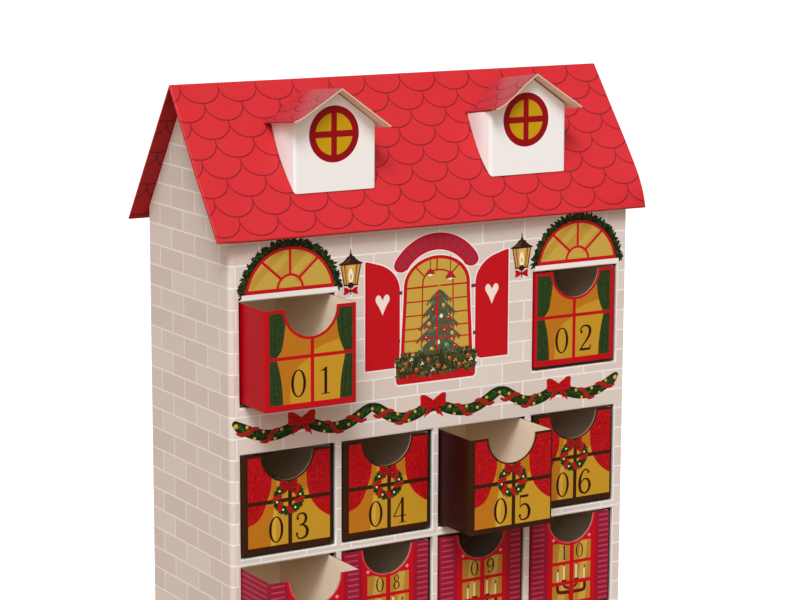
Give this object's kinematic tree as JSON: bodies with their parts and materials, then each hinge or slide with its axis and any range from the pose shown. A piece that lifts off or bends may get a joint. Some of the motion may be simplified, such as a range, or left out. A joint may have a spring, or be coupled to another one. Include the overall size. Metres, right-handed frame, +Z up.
{
  "type": "advent calendar",
  "caption": "Tall house-shaped advent calendar of printed board, with a steep shingled roof, dormers, and numbered card drawers that slide out of the front.",
  "frame": {"origin": "centre of the carcass's underside, on the surface it stands on", "axes": "+Z up towards the ridge, -Y out of the front, where the drawers come out, +X to the right as seen from the front"},
  "size_m": [0.2856, 0.1378, 0.5936],
  "materials": {
    "brick_print": "satin printed paper over greyboard, pale bricks",
    "roof_print": "satin printed paper over greyboard, red scalloped shingles",
    "white_card": "smooth off-white card",
    "dormer_shingle_print": "satin printed card, red shingles, grey-beige underside",
    "greyboard": "bare greyboard",
    "lining_paper": "matt dark brown lining paper over greyboard",
    "red_card": "satin printed folding card, red outside, cream inside",
    "brown_card": "satin printed folding card, dark brown outside, cream inside",
    "louvre_card": "satin printed folding card, crimson louvres outside, cream inside"
  },
  "bodies": {
    "carcass": {"front_panel": "brick_print", "left_side_wall": "brick_print", "right_side_wall": "brick_print", "back_panel": "brick_print", "base_panel": "greyboard", "loft_board": "greyboard", "liner_left": "lining_paper", "liner_right": "lining_paper", "upright_left": "lining_paper", "upright_centre": "lining_paper", "upright_right": "lining_paper", "shelf_row_1": "lining_paper", "shelf_row_2": "lining_paper", "shelf_row_3": "lining_paper", "shelf_row_4": "lining_paper", "shelf_row_5": "lining_paper", "shelf_row_6": "lining_paper", "shelf_row_7": "lining_paper", "ceiling_row_2": "lining_paper", "roof_board": "roof_print", "dormer_left_body": "white_card", "dormer_left_roof": "dormer_shingle_print", "dormer_right_body": "white_card", "dormer_right_roof": "dormer_shingle_print"},
    "drawer_01": {"drawer_01": "red_card"},
    "drawer_02": {"drawer_02": "red_card"},
    "drawer_03": {"drawer_03": "brown_card"},
    "drawer_04": {"drawer_04": "brown_card"},
    "drawer_05": {"drawer_05": "brown_card"},
    "drawer_06": {"drawer_06": "brown_card"},
    "drawer_07": {"drawer_07": "louvre_card"},
    "drawer_08": {"drawer_08": "louvre_card"},
    "drawer_09": {"drawer_09": "louvre_card"},
    "drawer_10": {"drawer_10": "louvre_card"},
    "drawer_11": {"drawer_11": "brown_card"},
    "drawer_12": {"drawer_12": "brown_card"},
    "drawer_13": {"drawer_13": "brown_card"},
    "drawer_14": {"drawer_14": "brown_card"},
    "drawer_15": {"drawer_15": "louvre_card"},
    "drawer_16": {"drawer_16": "louvre_card"},
    "drawer_17": {"drawer_17": "louvre_card"},
    "drawer_18": {"drawer_18": "louvre_card"},
    "drawer_19": {"drawer_19": "brown_card"},
    "drawer_20": {"drawer_20": "brown_card"},
    "drawer_21": {"drawer_21": "brown_card"},
    "drawer_22": {"drawer_22": "brown_card"},
    "drawer_23": {"drawer_23": "red_card"},
    "drawer_24": {"drawer_24": "red_card"}
  },
  "joints": [
    {"name": "drawer_01_slide", "type": "slide", "parent": "carcass", "child": "drawer_01", "axis": [0, -1, 0], "range_m": [-0.0252, 0.0588]},
    {"name": "drawer_02_slide", "type": "slide", "parent": "carcass", "child": "drawer_02", "axis": [0, -1, 0], "range_m": [0, 0.084]},
    {"name": "drawer_03_slide", "type": "slide", "parent": "carcass", "child": "drawer_03", "axis": [0, -1, 0], "range_m": [0, 0.084]},
    {"name": "drawer_04_slide", "type": "slide", "parent": "carcass", "child": "drawer_04", "axis": [0, -1, 0], "range_m": [0, 0.084]},
    {"name": "drawer_05_slide", "type": "slide", "parent": "carcass", "child": "drawer_05", "axis": [0, -1, 0], "range_m": [-0.0306, 0.0534]},
    {"name": "drawer_06_slide", "type": "slide", "parent": "carcass", "child": "drawer_06", "axis": [0, -1, 0], "range_m": [0, 0.084]},
    {"name": "drawer_07_slide", "type": "slide", "parent": "carcass", "child": "drawer_07", "axis": [0, -1, 0], "range_m": [-0.0312, 0.0528]},
    {"name": "drawer_08_slide", "type": "slide", "parent": "carcass", "child": "drawer_08", "axis": [0, -1, 0], "range_m": [0, 0.084]},
    {"name": "drawer_09_slide", "type": "slide", "parent": "carcass", "child": "drawer_09", "axis": [0, -1, 0], "range_m": [0, 0.084]},
    {"name": "drawer_10_slide", "type": "slide", "parent": "carcass", "child": "drawer_10", "axis": [0, -1, 0], "range_m": [0, 0.084]},
    {"name": "drawer_11_slide", "type": "slide", "parent": "carcass", "child": "drawer_11", "axis": [0, -1, 0], "range_m": [0, 0.084]},
    {"name": "drawer_12_slide", "type": "slide", "parent": "carcass", "child": "drawer_12", "axis": [0, -1, 0], "range_m": [0, 0.084]},
    {"name": "drawer_13_slide", "type": "slide", "parent": "carcass", "child": "drawer_13", "axis": [0, -1, 0], "range_m": [0, 0.084]},
    {"name": "drawer_14_slide", "type": "slide", "parent": "carcass", "child": "drawer_14", "axis": [0, -1, 0], "range_m": [0, 0.084]},
    {"name": "drawer_15_slide", "type": "slide", "parent": "carcass", "child": "drawer_15", "axis": [0, -1, 0], "range_m": [0, 0.084]},
    {"name": "drawer_16_slide", "type": "slide", "parent": "carcass", "child": "drawer_16", "axis": [0, -1, 0], "range_m": [0, 0.084]},
    {"name": "drawer_17_slide", "type": "slide", "parent": "carcass", "child": "drawer_17", "axis": [0, -1, 0], "range_m": [0, 0.084]},
    {"name": "drawer_18_slide", "type": "slide", "parent": "carcass", "child": "drawer_18", "axis": [0, -1, 0], "range_m": [0, 0.084]},
    {"name": "drawer_19_slide", "type": "slide", "parent": "carcass", "child": "drawer_19", "axis": [0, -1, 0], "range_m": [0, 0.084]},
    {"name": "drawer_20_slide", "type": "slide", "parent": "carcass", "child": "drawer_20", "axis": [0, -1, 0], "range_m": [0, 0.084]},
    {"name": "drawer_21_slide", "type": "slide", "parent": "carcass", "child": "drawer_21", "axis": [0, -1, 0], "range_m": [0, 0.084]},
    {"name": "drawer_22_slide", "type": "slide", "parent": "carcass", "child": "drawer_22", "axis": [0, -1, 0], "range_m": [0, 0.084]},
    {"name": "drawer_23_slide", "type": "slide", "parent": "carcass", "child": "drawer_23", "axis": [0, -1, 0], "range_m": [0, 0.084]},
    {"name": "drawer_24_slide", "type": "slide", "parent": "carcass", "child": "drawer_24", "axis": [0, -1, 0], "range_m": [0, 0.084]}
  ]
}
